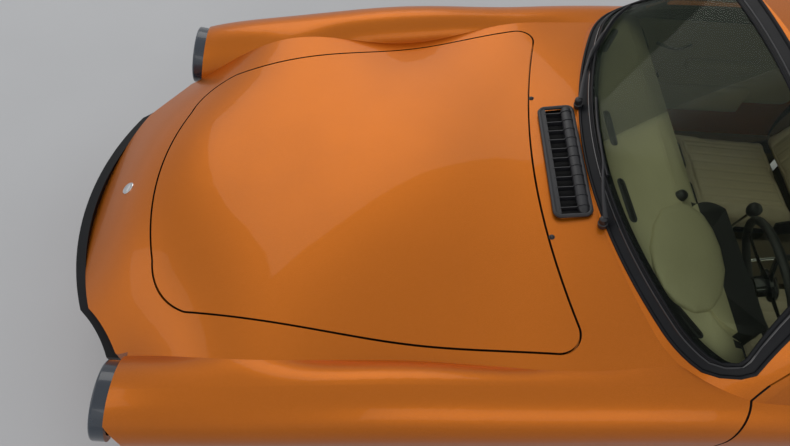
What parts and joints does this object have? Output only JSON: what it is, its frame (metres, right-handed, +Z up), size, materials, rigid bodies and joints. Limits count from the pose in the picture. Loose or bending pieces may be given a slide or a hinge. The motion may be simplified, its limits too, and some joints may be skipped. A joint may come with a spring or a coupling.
{
  "type": "two-door sports coupe",
  "caption": "Rear-engined fixed-roof sports coupe with rounded wings, opening lids and doors, turning wheels and coupled steering.",
  "frame": {"origin": "on the floor under the middle of the car's bounding box", "axes": "+X to the nose, +Y to the car's left side, +Z up"},
  "size_m": [4.1039, 1.649, 1.3124],
  "materials": {
    "paint_orange": "glossy metallic clear coat",
    "underbody": "matt black underseal",
    "glass": "green tinted",
    "rubber": "satin black",
    "lamp_ring": "dark blue-black gloss",
    "lamp_glass": "clear fluted",
    "red_lens": "translucent red",
    "amber_lens": "translucent amber",
    "black_plastic": "grained black",
    "tan_trim": "grained tan vinyl",
    "leather": "pleated tan leather",
    "black_leather": "smooth black",
    "aluminium": "machined and painted silver",
    "steel": "heat stained",
    "chassis_black": "satin black",
    "cast_iron": "bare casting",
    "tyre": "black rubber"
  },
  "bodies": {
    "body_shell": {"floor_pan": "underbody", "front_bulkhead": "underbody", "boot_tub": "underbody", "rear_bulkhead": "underbody", "wheel_liners": "underbody", "hinge_pillars": "underbody", "wing_left": "paint_orange", "wing_right": "paint_orange", "nose_panel": "paint_orange", "cowl_panel": "paint_orange", "roof_shell": "paint_orange", "rear_body": "paint_orange", "sill_covers": "paint_orange", "windscreen": "glass", "rear_glass": "glass", "quarter_glasses": "glass", "glass_seals": "rubber", "nose_strip": "rubber", "rear_bumper": "rubber", "headlamp_rings": "lamp_ring", "headlamp_lenses": "lamp_glass", "tail_lamps": "red_lens", "indicator_lamps": "amber_lens", "cowl_grille": "black_plastic", "wipers": "black_plastic", "dashboard": "tan_trim", "steering_column": "black_plastic", "seat_left": "leather", "seat_right": "leather", "rear_seat": "leather", "engine_block": "aluminium", "exhaust": "steel", "front_suspension": "chassis_black", "rear_suspension": "chassis_black"},
    "front_lid": {"front_lid": "paint_orange"},
    "engine_lid": {"engine_lid": "paint_orange"},
    "door_left": {"door_left": "paint_orange", "door_glass_left": "glass"},
    "door_right": {"door_right": "paint_orange", "door_glass_right": "glass"},
    "steering_wheel": {"steering_wheel": "black_leather"},
    "knuckle_left": {"knuckle_left": "cast_iron"},
    "knuckle_right": {"knuckle_right": "cast_iron"},
    "wheel_front_left": {"rim_front_left": "aluminium", "tyre_front_left": "tyre"},
    "wheel_front_right": {"rim_front_right": "aluminium", "tyre_front_right": "tyre"},
    "wheel_rear_left": {"rim_rear_left": "aluminium", "tyre_rear_left": "tyre"},
    "wheel_rear_right": {"rim_rear_right": "aluminium", "tyre_rear_right": "tyre"}
  },
  "joints": [
    {"name": "steer_left", "type": "hinge", "parent": "body_shell", "child": "knuckle_left", "pos_m": [1.155, 0.598, 0.315], "axis": [0, -0.1736, 0.9848], "range_deg": [-34, 34]},
    {"name": "steer_right", "type": "hinge", "parent": "body_shell", "child": "knuckle_right", "pos_m": [1.155, -0.598, 0.315], "axis": [0, 0.1736, 0.9848], "range_deg": [-34, 34]},
    {"name": "steering_wheel_turn", "type": "hinge", "parent": "body_shell", "child": "steering_wheel", "pos_m": [-0.052, 0.375, 0.822], "axis": [-0.9272, 0, 0.3746], "range_deg": [-545, 545]},
    {"name": "door_left_hinge", "type": "hinge", "parent": "body_shell", "child": "door_left", "pos_m": [0.204, 0.818, 0.6], "axis": [0, 0, -1], "range_deg": [0, 62]},
    {"name": "door_right_hinge", "type": "hinge", "parent": "body_shell", "child": "door_right", "pos_m": [0.204, -0.818, 0.6], "axis": [0, 0, 1], "range_deg": [0, 62]},
    {"name": "front_lid_hinge", "type": "hinge", "parent": "body_shell", "child": "front_lid", "pos_m": [0.53, 0, 0.882], "axis": [0, -1, 0], "range_deg": [0, 58]},
    {"name": "engine_lid_hinge", "type": "hinge", "parent": "body_shell", "child": "engine_lid", "pos_m": [-1.372, 0, 0.98], "axis": [0, 1, 0], "range_deg": [0, 60]},
    {"name": "wheel_front_left_spin", "type": "hinge", "parent": "knuckle_left", "child": "wheel_front_left", "pos_m": [1.155, 0.69, 0.315], "axis": [0, 1, 0], "continuous": true},
    {"name": "wheel_front_right_spin", "type": "hinge", "parent": "knuckle_right", "child": "wheel_front_right", "pos_m": [1.155, -0.69, 0.315], "axis": [0, 1, 0], "continuous": true},
    {"name": "wheel_rear_left_spin", "type": "hinge", "parent": "body_shell", "child": "wheel_rear_left", "pos_m": [-1.116, 0.695, 0.315], "axis": [0, 1, 0], "continuous": true},
    {"name": "wheel_rear_right_spin", "type": "hinge", "parent": "body_shell", "child": "wheel_rear_right", "pos_m": [-1.116, -0.695, 0.315], "axis": [0, 1, 0], "continuous": true}
  ],
  "couplings": [
    {"joint": "steer_right", "follows": "steer_left", "ratio": 1},
    {"joint": "steering_wheel_turn", "follows": "steer_left", "ratio": 16}
  ]
}
